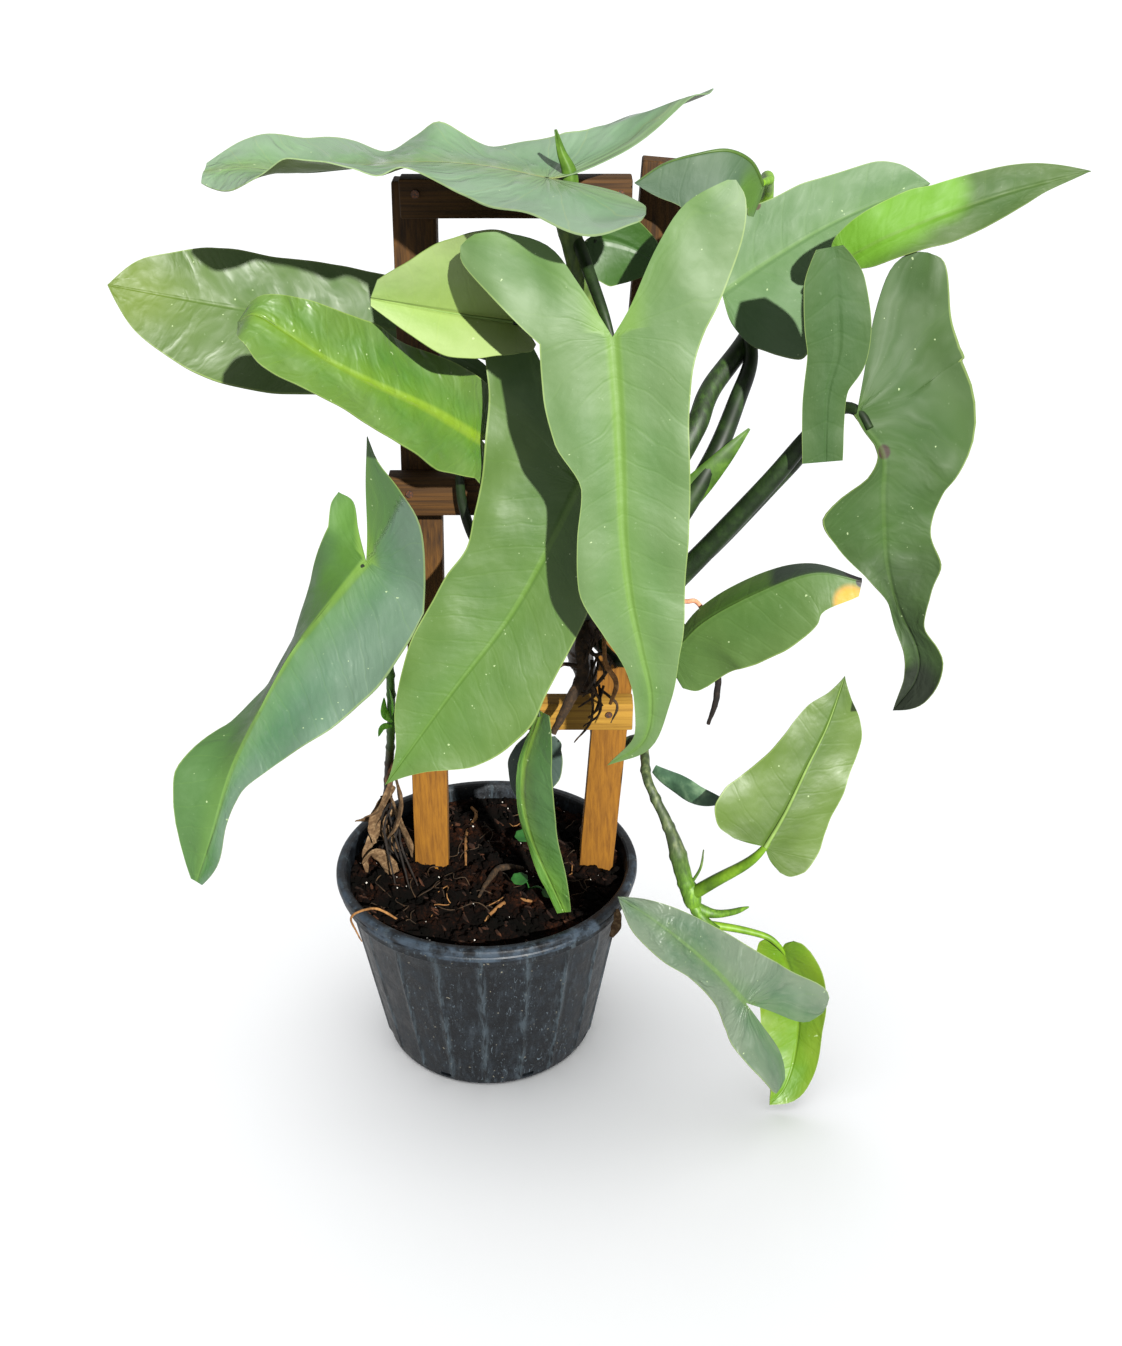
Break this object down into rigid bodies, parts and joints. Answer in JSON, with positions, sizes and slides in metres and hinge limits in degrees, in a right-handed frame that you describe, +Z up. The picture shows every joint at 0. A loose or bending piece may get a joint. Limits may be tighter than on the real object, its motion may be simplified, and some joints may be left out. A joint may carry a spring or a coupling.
{
  "type": "potted philodendron hastatum",
  "caption": "Climbing philodendron with long arrow-shaped silver-green leaves on a small nailed timber trellis, rooted in a tapered plastic nursery pot.",
  "frame": {"origin": "centre of the pot's flat base, on the surface it stands on", "axes": "+Z up through the pot, +X to the right seen from the front, +Y to the back, away from the side the leaves face"},
  "size_m": [0.7681, 0.3556, 0.9167],
  "materials": {
    "pot": "scuffed matt",
    "soil": "moist crumbly",
    "timber": "rough sawn, weathered",
    "nail": "dull",
    "leaf": "waxy silver-green",
    "stem": "satin",
    "young_green": "satin",
    "dark_root": "rough",
    "pale_root": "rough",
    "dry_sheath": "dry papery"
  },
  "bodies": {
    "root": {"pot": "pot", "post_left": "timber", "post_right": "timber", "rail_top": "timber", "rail_middle": "timber", "rail_lower": "timber", "nail_1": "nail", "nail_2": "nail", "nail_3": "nail", "nail_4": "nail", "nail_5": "nail", "nail_6": "nail", "stem_main": "stem", "stem_left": "stem", "stem_trailing": "stem", "climbing_root": "dark_root", "hanging_root": "dark_root", "pale_root": "pale_root", "dry_root": "pale_root", "new_leaf": "young_green", "split_sheath": "young_green", "trailing_bract": "young_green", "leaf_centre_front": "leaf", "leaf_left_hanging": "leaf", "leaf_far_left": "leaf", "leaf_left_front": "leaf", "leaf_left_underside": "leaf", "leaf_top": "leaf", "leaf_behind_centre": "leaf", "leaf_back_right": "leaf", "leaf_right": "leaf", "leaf_far_right": "leaf", "leaf_right_torn": "leaf", "leaf_lower_right": "leaf", "leaf_trailing_upright": "leaf", "leaf_trailing_low": "leaf", "leaf_trailing_behind": "leaf", "leaf_left_drooping": "leaf", "leaf_low_centre": "leaf", "leaf_low_behind": "leaf", "soil_root_back": "pale_root", "soil_root_front": "pale_root", "soil_root_tan": "pale_root", "rim_root": "pale_root", "seedling_front": "young_green", "seedling_back": "young_green", "dry_sheath_upper": "dry_sheath", "dry_sheath_lower": "dry_sheath", "soil": "soil"}
  },
  "joints": []
}
